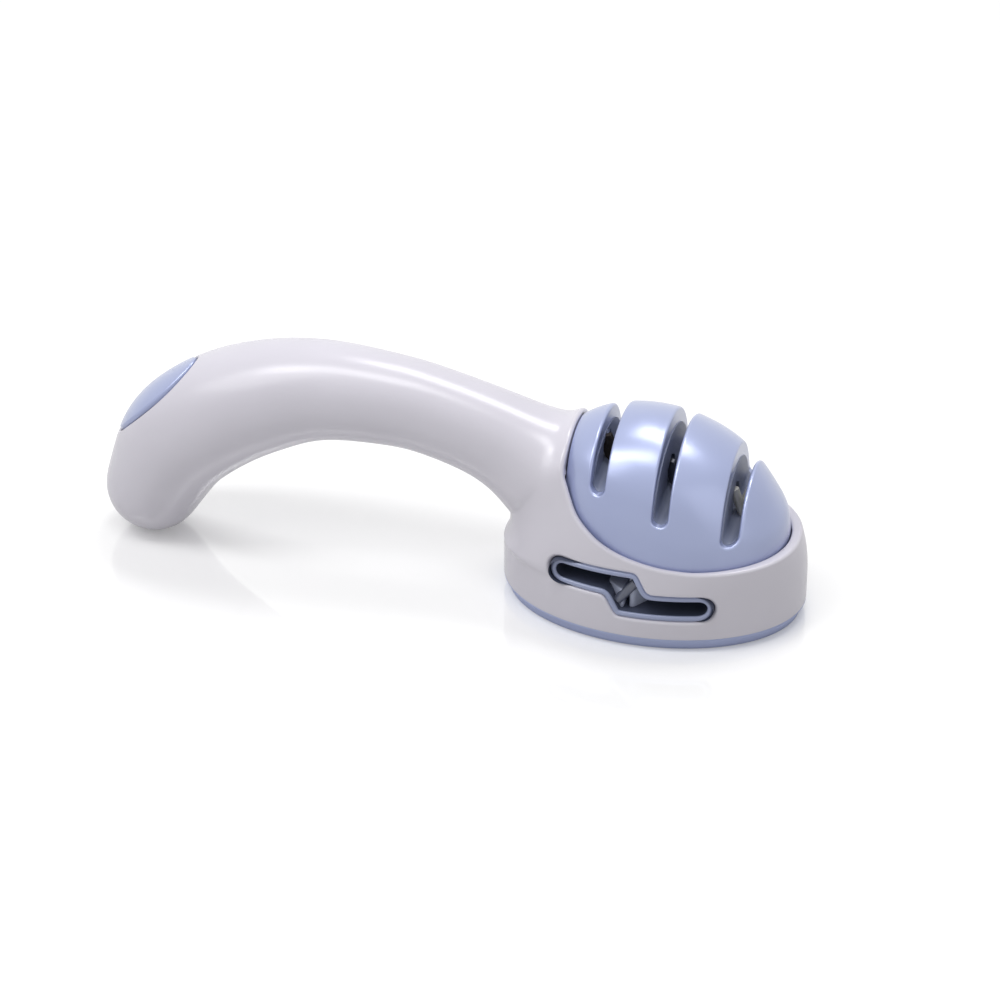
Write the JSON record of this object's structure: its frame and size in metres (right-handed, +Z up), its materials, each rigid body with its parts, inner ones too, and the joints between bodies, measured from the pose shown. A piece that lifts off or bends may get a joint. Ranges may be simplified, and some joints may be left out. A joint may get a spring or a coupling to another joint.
{
  "type": "knife and scissors sharpener",
  "caption": "Hand-held knife and scissors sharpener with an arched handle, an oval head, a lift-out module with crosswise knife slots and a stepped scissor slot.",
  "frame": {"origin": "middle of the part's box, on the surface that it stands on", "axes": "+X along the handle towards the head, +Y across, +Z up; the scissor slot is on the -Y side"},
  "size_m": [0.2263, 0.065, 0.0732],
  "materials": {
    "shell_plastic": "satin pale grey with a lilac tint",
    "blue_plastic": "pearl blue, softly polished",
    "base_plastic": "plain moulded",
    "dark_plastic": "dark slate, fine grain",
    "guide_plastic": "grey blue, plain",
    "sole_rubber": "soft blue, dull",
    "screw_steel": "zinc plated",
    "plate_steel": "ground",
    "rod_ceramic": "fine, unglazed"
  },
  "bodies": {
    "body": {"housing": "shell_plastic", "handle_cover": "shell_plastic", "handle_screws": "screw_steel", "end_plaque": "blue_plastic", "base_plate": "base_plastic", "sole": "sole_rubber", "base_screws": "screw_steel", "seat_tray": "base_plastic", "tray_screws": "screw_steel", "scissor_insert": "dark_plastic", "scissor_guide": "guide_plastic", "scissor_rod": "rod_ceramic", "scissor_screws": "screw_steel"},
    "sharpening_module": {"dome_cover": "blue_plastic", "core_near": "dark_plastic", "core_far": "dark_plastic", "core_screws": "screw_steel", "core_plate": "dark_plastic", "plate_screws": "screw_steel", "coarse_plates": "plate_steel", "carbide_blades": "plate_steel", "ceramic_rods": "rod_ceramic"}
  },
  "joints": [
    {"name": "module_lift", "type": "slide", "parent": "body", "child": "sharpening_module", "axis": [0, 0, 1], "range_m": [0, 0.06]}
  ]
}
